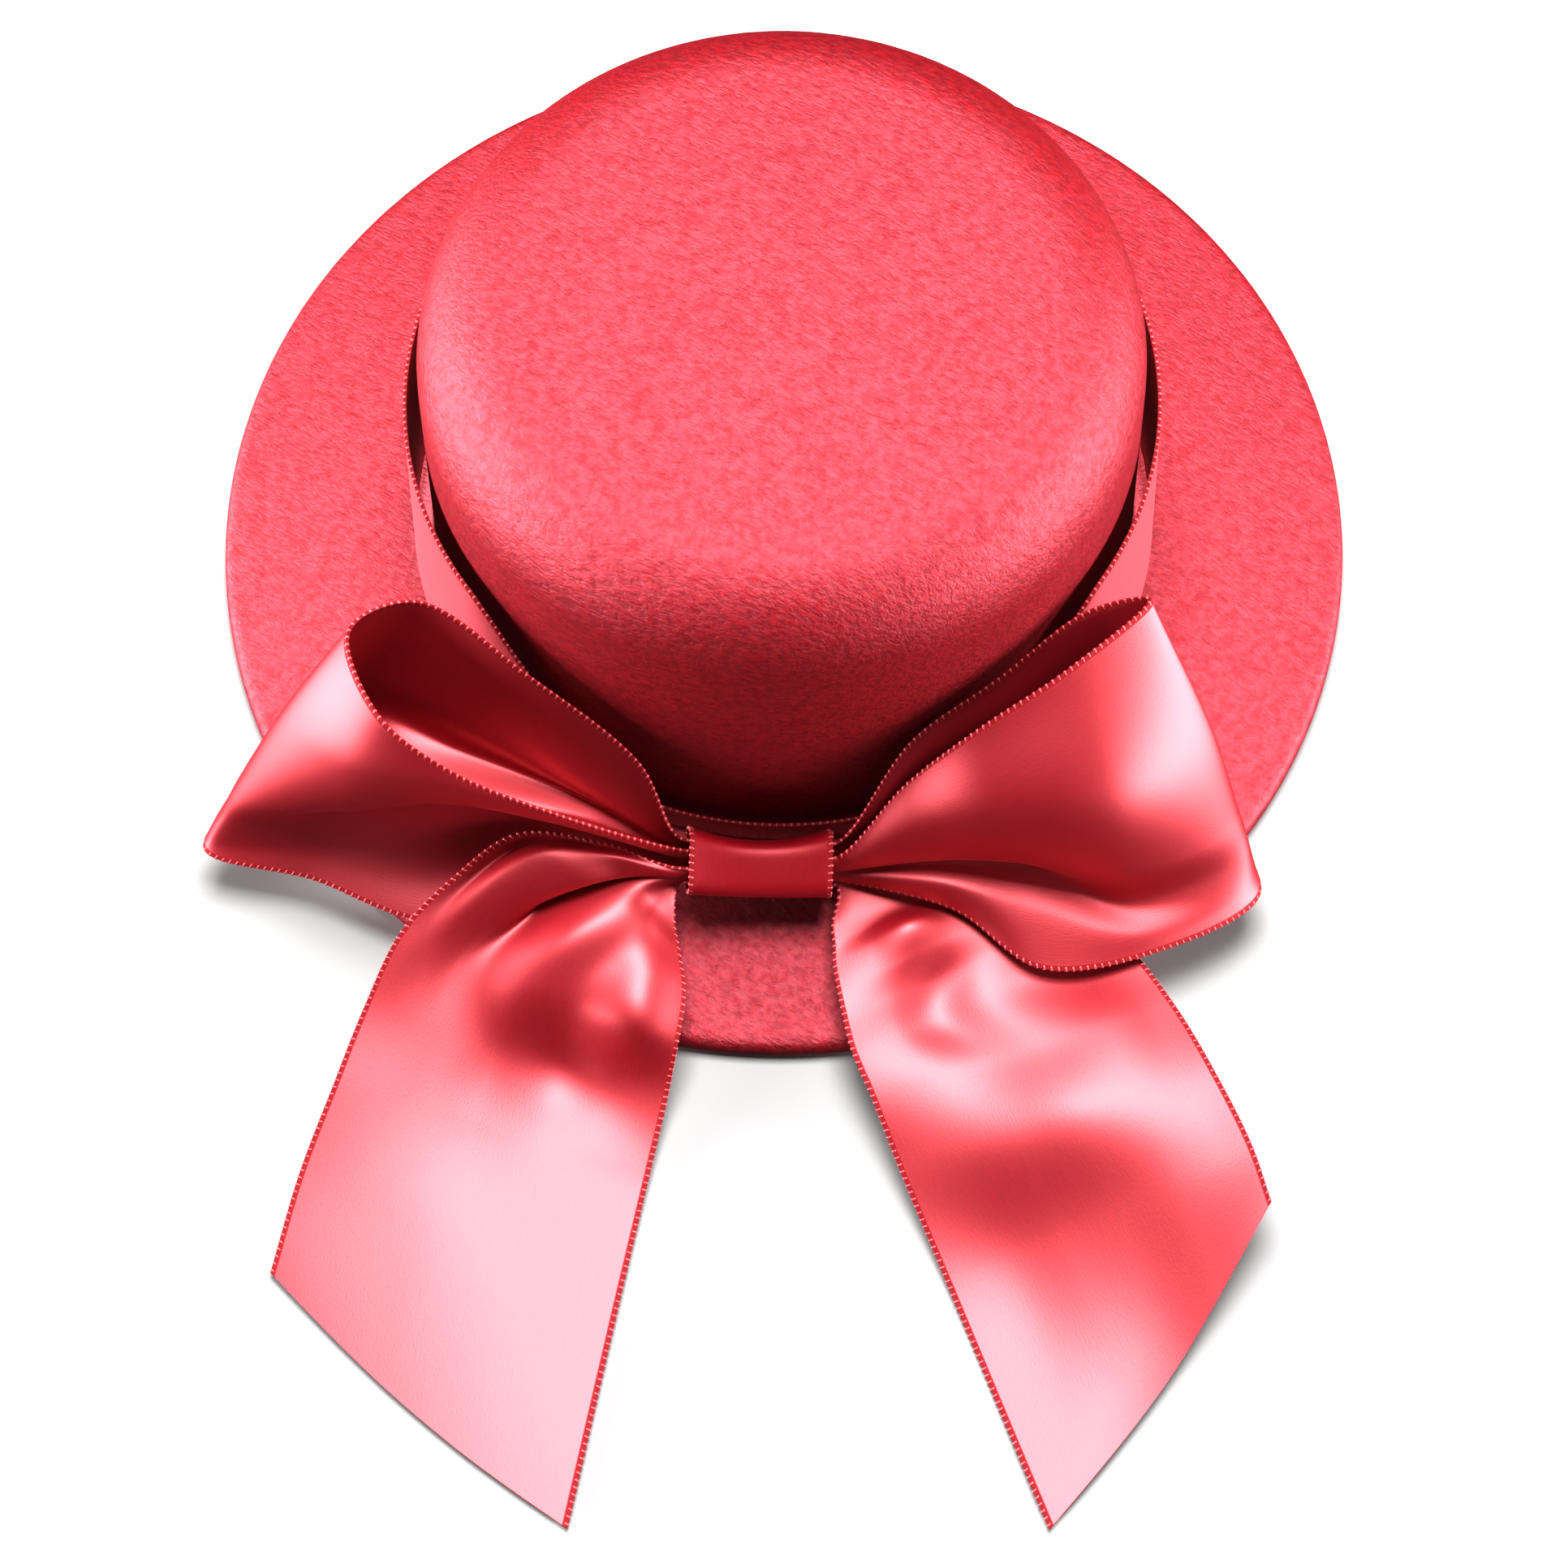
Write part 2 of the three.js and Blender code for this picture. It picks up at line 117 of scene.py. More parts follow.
# Rows are sections across a ribbon: its low edge, its top edge, then its fold lines' shares and outs.
# A share is counted from low to top. An out is how far the cloth stands out of the straight line there.
LOOP_LEFT = [
    ((-9, -46.6, 9.8), (-9, -46.6, 15.2),
     (0.2, 0.5, 0.8, 0.92), (0, 0, 0, 0)),
    ((-12, -46.5, 9.6), (-12, -46.6, 16),
     (0.2, 0.5, 0.8, 0.92), (-0.2, -0.2, 0.1, 0.1)),
    ((-24, -45.2, 8), (-25.4, -45.6, 24),
     (0.22, 0.58, 0.84, 0.93), (-3, -2.6, 0.1, 0.2)),
    ((-39.5, -50.6, 6.4), (-36.2, -43.2, 30.2),
     (0.2, 0.6, 0.8, 0.92), (-5, -4, 0.1, 0.6)),
    ((-53, -45.4, 6.4), (-43.4, -38.4, 34.2),
     (0.13, 0.34, 0.47, 0.74), (-2.6, -2.8, 1, 2)),
    ((-65, -41.6, 6.6), (-46.4, -29.2, 35.8),
     (0.06, 0.14, 0.25, 0.6), (0, 0.2, 0.6, 1)),
    ((-57, -33, 7), (-39.4, -25.8, 35.4),
     (0.3, 0.42, 0.58, 0.8), (0.2, 0.2, 0, -0.3)),
    ((-40, -32.5, 8.5), (-27.6, -32.9, 31.6),
     (0.4, 0.42, 0.6, 0.82), (-8, -3, -3, -1.4)),
    ((-23, -39, 9.5), (-16, -39.7, 23.6),
     (0.44, 0.48, 0.6, 0.8), (-4.6, -2.4, -3, -1.4)),
    ((-12, -45.2, 9.9), (-12, -45.1, 16),
     (0.3, 0.42, 0.6, 0.8), (0, 0, 0, 0)),
    ((-9, -45.2, 11), (-9, -45.2, 14.8),
     (0.3, 0.42, 0.6, 0.8), (0, 0, 0, 0)),
]
LOOP_RIGHT = [
    ((2.4, -47.5, 10.4), (2.4, -47.5, 14.4),
     (0.2, 0.34, 0.46, 0.72), (0, 0, 0, 0)),
    ((5.6, -47.9, 10), (5.6, -47.2, 15),
     (0.2, 0.34, 0.46, 0.72), (0.1, -0.5, 0.1, 0.4)),
    ((18.2, -51.6, 10), (12.8, -42.6, 23.4),
     (0.2, 0.29, 0.44, 0.72), (0, -2.2, 0.4, 1.6)),
    ((27.4, -58.2, 8.8), (20.6, -39.4, 30.6),
     (0.2, 0.35, 0.45, 0.7), (-2.6, -5.6, -0.6, 2.4)),
    ((39.8, -56.4, 8.2), (30, -34.4, 34.4),
     (0.06, 0.16, 0.3, 0.58), (-0.5, -2.8, 0.4, 3.4)),
    ((52.2, -48.6, 6.6), (39, -26.6, 35.4),
     (0.05, 0.15, 0.26, 0.54), (0, 0.4, 0.7, 1.4)),
    ((46, -39, 7), (32.6, -27.6, 34.8),
     (0.15, 0.3, 0.5, 0.86), (0.3, 0.6, 0.8, -0.4)),
    ((31, -38, 8), (22.6, -33.8, 30.8),
     (0.2, 0.4, 0.6, 0.86), (0.4, 0.2, -0.2, -1.2)),
    ((17.5, -42.4, 9.6), (13.6, -38.5, 25.9),
     (0.2, 0.4, 0.6, 0.85), (0, -0.3, -0.4, -1)),
    ((5.6, -45.8, 10), (5.6, -45.5, 15),
     (0.2, 0.4, 0.6, 0.85), (0, 0, 0, 0)),
    ((2.4, -46.1, 10.4), (2.4, -46.1, 14.8),
     (0.2, 0.4, 0.6, 0.85), (0, 0, 0, 0)),
]
TAIL_LEFT = [
    ((-9, -48, 10.9), (-9, -48, 14.3),
     (0.1, 0.25, 0.42, 0.54, 0.6, 0.82, 0.93), (0, 0, 0, 0, 0, 0, 0)),
    ((-12, -48.2, 10.6), (-12.2, -48.2, 14.6),
     (0.1, 0.25, 0.46, 0.6, 0.58, 0.84, 0.93), (0.1, -0.1, 0.4, -0.3, 0.2, 0.4, 0)),
    ((-12.6, -52, 8.8), (-20.5, -45, 14.4),
     (0.12, 0.25, 0.47, 0.66, 0.6, 0.86, 0.95), (0.2, 0.5, 0.8, -2, 0.8, 1.6, 0.4)),
    ((-12, -56, 8.6), (-29.5, -44.2, 15.4),
     (0.12, 0.25, 0.4, 0.64, 0.58, 0.84, 0.93), (0.5, 1.1, 1, -2.8, 0.9, 1.6, -1.2)),
    ((-11.5, -60.5, 8.4), (-37, -48.4, 12.6),
     (0.15, 0.31, 0.49, 0.68, 0.72, 0.87, 0.94), (1.5, 1, 1.3, -2.2, -0.8, 0.5, -0.4)),
    ((-12.2, -65.4, 7.4), (-42.6, -53.6, 10.2),
     (0.15, 0.36, 0.55, 0.7, 0.78, 0.87, 0.94), (1.8, 0.2, 0.2, -1.4, -1.4, -0.6, -0.2)),
    ((-13.6, -71, 3.4), (-46.6, -61, 7),
     (0.18, 0.36, 0.56, 0.68, 0.77, 0.86, 0.94), (-1.2, -2.2, -0.8, -0.3, -0.1, 0, 0)),
    ((-15.6, -79, 1.2), (-50, -69.4, 4.8),
     (0.2, 0.36, 0.56, 0.68, 0.77, 0.86, 0.94), (-0.4, -0.5, 0, 0.2, 0.2, 0.2, 0.1)),
    ((-19, -94, 0.7), (-53.6, -78.8, 2.6),
     (0.2, 0.36, 0.56, 0.68, 0.77, 0.86, 0.94), (0.2, 0.4, 0.5, 0.4, 0.3, 0.2, 0.1)),
    ((-24.2, -118, 0.7), (-56.5, -89.4, 0.9),
     (0.2, 0.36, 0.56, 0.68, 0.77, 0.86, 0.94), (0, 0, 0, 0, 0, 0, 0)),
]
TAIL_RIGHT = [
    ((2.4, -47.6, 9.3), (2.4, -45.8, 9.3),
     (0.2, 0.4, 0.6, 0.75, 0.9), (0, 0, 0, 0, 0)),
    ((5.4, -48.4, 9), (5.4, -45.2, 8.9),
     (0.2, 0.4, 0.6, 0.75, 0.9), (0, 0, 0, 0, 0)),
    ((4.8, -52.5, 8.2), (12.7, -46.3, 7.6),
     (0.25, 0.45, 0.6, 0.75, 0.9), (0, 0.1, 0.2, 0.2, 0.1)),
    ((4.9, -55, 8), (19.2, -46.5, 7),
     (0.2, 0.42, 0.6, 0.78, 0.92), (0.2, 0.4, 0.4, 0.3, 0.1)),
    ((4.9, -57.3, 7.9), (25.1, -47.2, 6.8),
     (0.2, 0.4, 0.58, 0.75, 0.92), (0.9, 2.3, 1.4, 0.9, 0.3)),
    ((5.3, -60.3, 7.9), (29.1, -48.8, 6.7),
     (0.18, 0.38, 0.58, 0.75, 0.9), (0.6, 1.3, 1.2, 0.9, 0.3)),
    ((5.8, -63.2, 7.8), (33.2, -51.3, 6.6),
     (0.18, 0.36, 0.56, 0.76, 0.9), (0, -0.5, 0.5, 0.6, 0)),
    ((6.6, -66.8, 7.3), (37.4, -55, 6.6),
     (0.16, 0.32, 0.5, 0.82, 0.93), (-0.2, -0.9, 0.3, -0.4, -0.2)),
    ((8.8, -72.2, 6.2), (42, -62.5, 8),
     (0.2, 0.38, 0.56, 0.78, 0.92), (0.3, 0.2, 0.7, 0.9, 0.3)),
    ((11.6, -79.3, 3.9), (46, -71.1, 9.2),
     (0.2, 0.38, 0.56, 0.75, 0.9), (0.9, 1.5, 1.9, 1.4, 0.6)),
    ((16.8, -92.2, 0.8), (49.4, -78.9, 8.6),
     (0.2, 0.38, 0.56, 0.75, 0.9), (-0.7, -0.2, 0.5, 1.1, 0.7)),
    ((26.6, -118.8, 0.8), (51.3, -85, 7.4),
     (0.2, 0.38, 0.56, 0.75, 0.9), (-1, -2, -2.5, -1.4, -0.4)),
]
CUT_BOW_LEFT = 1.6  # how far a tail's cut end bows out
CUT_BOW_RIGHT = 1.4
OUT_ON_LEFT = 1  # sign of the out side, which the way a ribbon's rows run sets
OUT_ON_RIGHT = -1

# The ribbons as they were cut, in millimetres. The mean length is that of a slant-cut tail.
BAND_FLAT = {"width": BAND_TOP - BAND_BOTTOM, "length": 262, "held": "stretched", "rests_on": ["felt_body"]}
LOOP_LEFT_FLAT = {"width": RIBBON_WIDTH, "length": 100, "held": "gathered", "rests_on": ["bow_knot"]}
LOOP_RIGHT_FLAT = {"width": RIBBON_WIDTH, "length": 92, "held": "gathered", "rests_on": ["bow_knot"]}
TAIL_LEFT_FLAT = {"width": RIBBON_WIDTH, "length": 86, "mean_length": 72, "held": "laid",
                  "rests_on": ["felt_body"]}
TAIL_RIGHT_FLAT = {"width": RIBBON_WIDTH, "length": 86, "mean_length": 70, "held": "laid",
                   "rests_on": ["felt_body"]}
KNOT_FLAT = {"width": KNOT_LENGTH, "length": 25, "held": "stretched", "rests_on": ["bow_loop_left"]}

# Camera, fitted to the round brim: it looks down at the front of the hat.
CAMERA_ELEVATION = math.radians(65.35)
CAMERA_ROLL = math.radians(-0.74)
CAMERA_DISTANCE = 500
CAMERA_TARGET = np.array([-0.34, -31.6, 0])
CAMERA_LENS = 100.9
CAMERA_SENSOR = 36
CAMERA_CLIP = 0.01

# Looks. Colours are linear red, green and blue, and a tint is the colour of what a surface reflects.
BLACK = (0, 0, 0)
WHITE = (1, 1, 1)
# The darker felt colour is both the fibres' darker tone and the painted shade laid into the pits.
FELT_DARK_AND_PIT_SHADE = (0.17, 0.001, 0.004)
FELT_PALE = (0.34, 0.002, 0.010)
FELT_TINT = (1.0, 0.3, 0.37)
FELT_DULL_GRAIN = 0.55
FELT_ROUGHNESS = 0.5
FELT_IOR = 2.0
SATIN_TINT = (1.0, 0.27, 0.298)
SATIN_ROUGHNESS = 0.46
SATIN_IOR = 2.25
# Painted shade: the selvage strip is coloured dark to stand in for the shade in the gaps between the picot
# bars.
PICOT_GAP_SHADE = (0.2, 0.001, 0.003)
SELVAGE_ROUGHNESS = 0.7
SELVAGE_GLOSS = 0.3
SELVAGE_WIDTH = 0.5
SELVAGE_END = 0.65  # the shiny face begins this far from the edge
THREAD_DARK = (0.4, 0.04, 0.055)
THREAD_PALE = (0.55, 0.09, 0.11)
THREAD_TINT = (1.0, 0.4, 0.44)
THREAD_ROUGHNESS = 0.5
THREAD_IOR = 2.2
STEEL_DARK = (0.55, 0.56, 0.58)
STEEL_PALE = (0.72, 0.73, 0.75)
STEEL_ROUGHNESS = 0.35
FLOOR_GREY = 0.4
FLOOR_ROUGHNESS = 0.9
FLOOR_REACH = 3

# Satins: the darker and the paler colour of the streaks, and the gloss.
BOW_SATIN = ((0.20, 0.0008, 0.006), (0.26, 0.001, 0.010), 1.0)
# Painted highlight: the band's satin is coloured paler than the bow's, standing in for the light its outer
# face catches.
BAND_PAINTED_HIGHLIGHT_SATIN = ((0.4, 0.07, 0.09), (0.48, 0.11, 0.13), 0.6)
KNOT_SATIN = ((0.20, 0.0008, 0.006), (0.25, 0.001, 0.009), 0.4)

# Noise cells in each metre, and for ribbons in each millimetre along and across.
FIBRE_CELLS = 1700
GRAIN_CELLS = 900
TWIST_CELLS = 3000
BRUSH_CELLS = (60, 6000, 6000)
STREAK_CELLS = (0.35, 6.0, 1.0)
WEAVE_CELLS = (2.0, 5.0, 1.0)

# Lights, in degrees, metres and watts. Azimuth 0 is behind the hat, 90 on its right.
LIGHTS = [
    # name, azimuth, elevation, distance, width, height, power
    ("key", 8, 78, 0.9, 0.5, 0.5, 20),
    ("left", -84, 8, 0.8, 0.9, 0.36, 26),
    ("right", 96, 8, 0.8, 0.8, 0.36, 21),
]
LIGHT_AIM = np.array([0, -20, 15])
WORLD_STRENGTH = 0.03
VIEW_GAMMA = 0.8


def unit(vectors):
    """Vectors scaled to length one along the last axis."""
    lengths = np.linalg.norm(vectors, axis=-1, keepdims=True)
    return vectors / np.maximum(lengths, 1e-9)


def smoothstep(value, start, end):
    """0 before start, 1 after end, and a smooth rise between."""
    share = np.clip((value - start) / (end - start), 0, 1)
    return share * share * (3 - 2 * share)


def spline(points, places):
    """Centripetal Catmull-Rom curve through points. A place of 1.5 is halfway from point 1 to point 2."""
    points = np.asarray(points, float)
    ends = [2 * points[0] - points[1], *points, 2 * points[-1] - points[-2]]
    padded = np.array(ends)
    index = np.clip(np.floor(places).astype(int), 0, len(points) - 2)
    share = (places - index)[:, None]
    before, start, end, after = (padded[index + k] for k in range(4))

    def knot_step(a, b):
        return np.maximum(np.linalg.norm(b - a, axis=1, keepdims=True), 1e-6) ** 0.5

    first, second, third = knot_step(before, start), knot_step(start, end), knot_step(end, after)
    out = (start - before) / first - (end - before) / (first + second) + (end - start) / second
    into = (end - start) / second - (after - start) / (second + third) + (after - end) / third
    out, into = out * second, into * second
    square = -3 * start + 3 * end - 2 * out - into
    cube = 2 * start - 2 * end + out + into
    return start + share * (out + share * (square + share * cube))


def grid_normals(grid, ring=False):
    """Unit normals of a grid of points. A ring closes on itself along its first axis."""
    if ring:
        along = np.roll(grid, -1, axis=0) - np.roll(grid, 1, axis=0)
    else:
        along = np.gradient(grid, axis=0)
    across = np.gradient(grid, axis=1)
    return unit(np.cross(across, along))


def new_object(name, vertices, faces, material, uvs=None):
    """A mesh object in the frame from vertices in millimetres counted from the crown's axis."""
    mesh = bpy.data.meshes.new(name)
    points = (np.asarray(vertices, float) + AXIS) * MM
    mesh.from_pydata(points.tolist(), [], faces)
    if uvs is not None:
        layer = mesh.uv_layers.new(name="UVMap")
        corners = np.empty(len(mesh.loops), int)
        mesh.loops.foreach_get("vertex_index", corners)
        layer.data.foreach_set("uv", np.asarray(uvs, float)[corners].ravel())
    mesh.polygons.foreach_set("use_smooth", [True] * len(mesh.polygons))
    mesh.set_sharp_from_angle(angle=SHARP_ANGLE)
    mesh.materials.append(material)
    piece = bpy.data.objects.new(name, mesh)
    bpy.context.scene.collection.objects.link(piece)
    return piece


def sheet_faces(rows, columns, ring):
    """Faces of a closed thin wall whose front vertices come first and back vertices second."""
    count = rows * columns
    faces = []

    def front(i, j):
        return (i % rows) * columns + j

    def back(i, j):
        return count + front(i, j)

    last = columns - 1
    for i in range(rows if ring else rows - 1):
        for j in range(last):
            faces.append((front(i, j), front(i, j + 1), front(i + 1, j + 1), front(i + 1, j)))
            faces.append((back(i, j), back(i + 1, j), back(i + 1, j + 1), back(i, j + 1)))
        faces.append((front(i, 0), front(i + 1, 0), back(i + 1, 0), back(i, 0)))
        faces.append((front(i, last), back(i, last), back(i + 1, last), front(i + 1, last)))
    if not ring:
        end = rows - 1
        for j in range(last):
            faces.append((front(0, j), back(0, j), back(0, j + 1), front(0, j + 1)))
            faces.append((front(end, j), front(end, j + 1), back(end, j + 1), back(end, j)))
    return faces


def sheet_object(name, grid, width, material, ring=False):
    """Cloth with the grid as its middle surface. Its UV map is in millimetres, along it and across it."""
    normals = grid_normals(grid, ring)
    half = normals * SATIN_WALL / 2
    rows, columns = grid.shape[:2]
    vertices = np.concatenate([(grid + half).reshape(-1, 3), (grid - half).reshape(-1, 3)])
    middle = grid[:, columns // 2]
    steps = np.linalg.norm(np.diff(middle, axis=0), axis=1)
    along = np.concatenate([[0], np.cumsum(steps)])
    across = np.cumsum(np.linalg.norm(np.diff(grid, axis=1), axis=2), axis=1)
    across = np.concatenate([np.zeros((rows, 1)), across], axis=1)
    across = across / across[:, -1:] * width
    uv = np.stack([np.broadcast_to(along[:, None], across.shape), across], axis=-1).reshape(-1, 2)
    faces = sheet_faces(rows, columns, ring)
    cloth = new_object(name, vertices, faces, material, np.concatenate([uv, uv]))
    edge = np.minimum(uv[:, 1], width - uv[:, 1])
    layer = cloth.data.attributes.new("edge", "FLOAT", "POINT")
    layer.data.foreach_set("value", np.concatenate([edge, edge]))
    return cloth


def section_points(rows, side, bow):
    """Points across each section: its edges, and between them its fold lines."""
    low = np.array([row[0] for row in rows], float)
    top = np.array([row[1] for row in rows], float)
    share = np.array([(0, *row[2], 1) for row in rows], float)[:, :, None]
    out = np.array([(0, *row[3], 0) for row in rows], float)[:, :, None]
    middle = (low + top) / 2
    ahead = np.concatenate([middle[1:], middle[-1:]])
    behind = np.concatenate([middle[:1], middle[:-1]])
    along = unit(ahead - behind)
    outward = unit(np.cross(top - low, along)) * side
    points = low[:, None] + (top - low)[:, None] * share + outward[:, None] * out
    points[-1] += along[-1] * bow * np.sin(math.pi * share[-1])
    return points


def ribbon_grid(rows, steps, side, bow=0):
    """Middle surface of a ribbon lofted along its edges and fold lines."""
    sections = section_points(rows, side, bow)
    lines = sections.shape[1]
    places = np.linspace(0, len(rows) - 1, steps + 1)
    rails = np.stack([spline(sections[:, k], places) for k in range(lines)], axis=1)
    across = np.linspace(0, lines - 1, SPAN_STEPS * (lines - 1) + 1)
    return np.stack([spline(points, across) for points in rails])


def pill():
    """Vertices and faces of a small rounded bar along X, from -0.5 to 0.5 in each direction."""
    sides = 8
    # place along the bar, share of its full radius
    rings = [(-0.5, 0), (-0.47, 0.55), (-0.34, 0.95), (0.34, 0.95), (0.47, 0.55), (0.5, 0)]
    vertices = []
    for x, radius in rings:
        for k in range(sides):
            angle = 2 * math.pi * k / sides
            vertices.append((x, radius * math.cos(angle) / 2, radius * math.sin(angle) / 2))
    faces = []
    for i in range(len(rings) - 1):
        for k in range(sides):
            a, b = i * sides + k, i * sides + (k + 1) % sides
            faces.append((a, b, b + sides, a + sides))
    return np.array(vertices), faces


def picots(name, edges, material):
    """Rows of thread bars over edges. An edge has points, inward directions, normals, and may be a ring."""
    shape, shape_faces = pill()
    vertices, faces = [], []
    for line, inward, normal, ring in edges:
        closed = np.concatenate([line, line[:1]]) if ring else line
        length = np.concatenate([[0], np.cumsum(np.linalg.norm(np.diff(closed, axis=0), axis=1))])
        count = int(length[-1] / PICOT_PITCH)
        stations = (np.arange(count) + 0.5) * length[-1] / count
        place = np.interp(stations, length, np.arange(len(closed)))
        index = np.floor(place).astype(int)
        following = (index + 1) % len(line) if ring else np.minimum(index + 1, len(line) - 1)
        share = (place - index)[:, None]
        spot = line[index] * (1 - share) + line[following] * share
        x = unit(inward[index] * (1 - share) + inward[following] * share)
        z = unit(normal[index] * (1 - share) + normal[following] * share)
        y = unit(np.cross(z, x))
        size = np.array([PICOT_LENGTH, PICOT_WIDTH, SATIN_WALL + 2 * PICOT_PROUD])
        for k in range(count):
            middle = spot[k] + x[k] * (PICOT_LENGTH / 2 - PICOT_OVERHANG)
            placed = middle + (shape * size) @ np.array([x[k], y[k], z[k]])
            start = len(vertices) * len(shape)
            vertices.append(placed)
            faces.extend(tuple(start + v for v in face) for face in shape_faces)
    return new_object(name, np.concatenate(vertices), faces, material)


def selvages(grid, ring=False):
    """The two long edges of a ribbon, for picots."""
    normals = grid_normals(grid, ring)
    low = (grid[:, 0], unit(grid[:, 1] - grid[:, 0]), normals[:, 0], ring)
    top = (grid[:, -1], unit(grid[:, -2] - grid[:, -1]), normals[:, -1], ring)
    return [low, top]


def node_material(name):
    """A new material, its nodes, its links and its shader."""
    material = bpy.data.materials.new(name)
    material.use_nodes = True
    nodes = material.node_tree.nodes
    return material, nodes, material.node_tree.links, nodes["Principled BSDF"]


def noise_node(nodes, links, vector, scale, detail, roughness):
    """A noise texture reading the given vector."""
    texture = nodes.new("ShaderNodeTexNoise")
    texture.inputs["Scale"].default_value = scale
    texture.inputs["Detail"].default_value = detail
    texture.inputs["Roughness"].default_value = roughness
    links.new(vector, texture.inputs["Vector"])
    return texture.outputs["Fac"]


def ramp_node(nodes, links, factor, stops):
    """A colour ramp with (position, colour) stops."""
    ramp = nodes.new("ShaderNodeValToRGB")
    elements = ramp.color_ramp.elements
    while len(elements) < len(stops):
        elements.new(0.5)
    for element, (position, colour) in zip(elements, stops):
        element.position = position
        element.color = (*colour, 1)
    links.new(factor, ramp.inputs["Fac"])
    return ramp.outputs["Color"]


def bump_node(nodes, links, height, strength, distance, normal=None):
    """A bump from a height, on top of another normal if one is given."""
    bump = nodes.new("ShaderNodeBump")
    bump.inputs["Strength"].default_value = strength
    bump.inputs["Distance"].default_value = distance
    links.new(height, bump.inputs["Height"])
    if normal is not None:
        links.new(normal, bump.inputs["Normal"])
    return bump.outputs["Normal"]


def scaled_node(nodes, links, vector, scale):
    """The vector with each of its parts scaled."""
    mapping = nodes.new("ShaderNodeMapping")
    mapping.inputs["Scale"].default_value = scale
    links.new(vector, mapping.inputs["Vector"])
    return mapping.outputs["Vector"]


def blend_node(nodes, links, factor, colour, other):
    """A mix that goes from a plain colour to another node's colour."""
    blend = nodes.new("ShaderNodeMix")
    blend.data_type = "RGBA"
    blend.inputs["A"].default_value = (*colour, 1)
    links.new(factor, blend.inputs["Factor"])
    links.new(other, blend.inputs["B"])
    return blend.outputs["Result"]


def grey(level):
    """A colour with the same red, green and blue."""
    return (level, level, level)


def felt_material():
    """Napped wool felt: short slanting pits darkened with painted shade, fine fibres and a gloss that
    changes from grain to grain.
    """
    material, nodes, links, shader = node_material("felt")
    place = nodes.new("ShaderNodeTexCoord").outputs["Object"]
    turned = nodes.new("ShaderNodeMapping")
    turned.vector_type = "TEXTURE"
    turned.inputs["Rotation"].default_value = (0, 0, NAP_ANGLE)
    turned.inputs["Scale"].default_value = (NAP_LENGTH * MM, NAP_WIDTH * MM, NAP_WIDTH * MM)
    links.new(place, turned.inputs["Vector"])
    ridges = noise_node(nodes, links, turned.outputs["Vector"], scale=1, detail=2, roughness=0.6)
    fibres = noise_node(nodes, links, place, scale=FIBRE_CELLS, detail=6, roughness=0.75)
    grain = noise_node(nodes, links, place, scale=GRAIN_CELLS, detail=4, roughness=0.7)
    pits = ramp_node(nodes, links, ridges, [(0.38, BLACK), (0.58, WHITE)])
    colour = ramp_node(nodes, links, fibres, [(0.30, FELT_DARK_AND_PIT_SHADE), (0.66, FELT_PALE)])
    # Painted shade: the pits are blended towards the darker felt colour, standing in for the shade that
    # falls in them.
    links.new(blend_node(nodes, links, pits, FELT_DARK_AND_PIT_SHADE, colour), shader.inputs["Base Color"])
    gloss = ramp_node(nodes, links, grain, [(0.36, grey(FELT_DULL_GRAIN)), (0.6, WHITE)])
    links.new(gloss, shader.inputs["Specular IOR Level"])
    coarse = bump_node(nodes, links, pits, strength=0.2, distance=0.0003)
    fine = bump_node(nodes, links, fibres, strength=0.35, distance=0.0004, normal=coarse)
    links.new(fine, shader.inputs["Normal"])
    shader.inputs["Roughness"].default_value = FELT_ROUGHNESS
    shader.inputs["IOR"].default_value = FELT_IOR
    shader.inputs["Specular Tint"].default_value = (*FELT_TINT, 1)
    return material


def satin_material(name, dark, pale, shine):
    """Satin: a glossy face with faint streaks along the ribbon, and a dull selvage painted dark as the
    shade in the gaps between the picot bars.
    """
    material, nodes, links, shader = node_material(name)
    ribbon = nodes.new("ShaderNodeUVMap")
    ribbon.uv_map = "UVMap"
    streaks_place = scaled_node(nodes, links, ribbon.outputs["UV"], STREAK_CELLS)
    streaks = noise_node(nodes, links, streaks_place, scale=1, detail=3, roughness=0.6)
    weave_place = scaled_node(nodes, links, ribbon.outputs["UV"], WEAVE_CELLS)
    weave = noise_node(nodes, links, weave_place, scale=1, detail=2, roughness=0.6)
    edge = nodes.new("ShaderNodeAttribute")
    edge.attribute_name = "edge"

    def from_edge(selvage, face):
        return ramp_node(nodes, links, edge.outputs["Fac"], [(SELVAGE_WIDTH, selvage), (SELVAGE_END, face)])

    colour = ramp_node(nodes, links, streaks, [(0.3, dark), (0.7, pale)])
    # The selvage strip gets the painted shade colour, so the gaps between the picot bars look shadowed.
    inside = from_edge(BLACK, WHITE)
    links.new(blend_node(nodes, links, inside, PICOT_GAP_SHADE, colour), shader.inputs["Base Color"])
    links.new(from_edge(grey(SELVAGE_ROUGHNESS), grey(SATIN_ROUGHNESS)), shader.inputs["Roughness"])
    links.new(from_edge(grey(SELVAGE_GLOSS), grey(shine)), shader.inputs["Specular IOR Level"])
    coarse = bump_node(nodes, links, streaks, strength=0.08, distance=0.0001)
    fine = bump_node(nodes, links, weave, strength=0.12, distance=0.0001, normal=coarse)
    links.new(fine, shader.inputs["Normal"])
    shader.inputs["IOR"].default_value = SATIN_IOR
    shader.inputs["Specular Tint"].default_value = (*SATIN_TINT, 1)
    return material


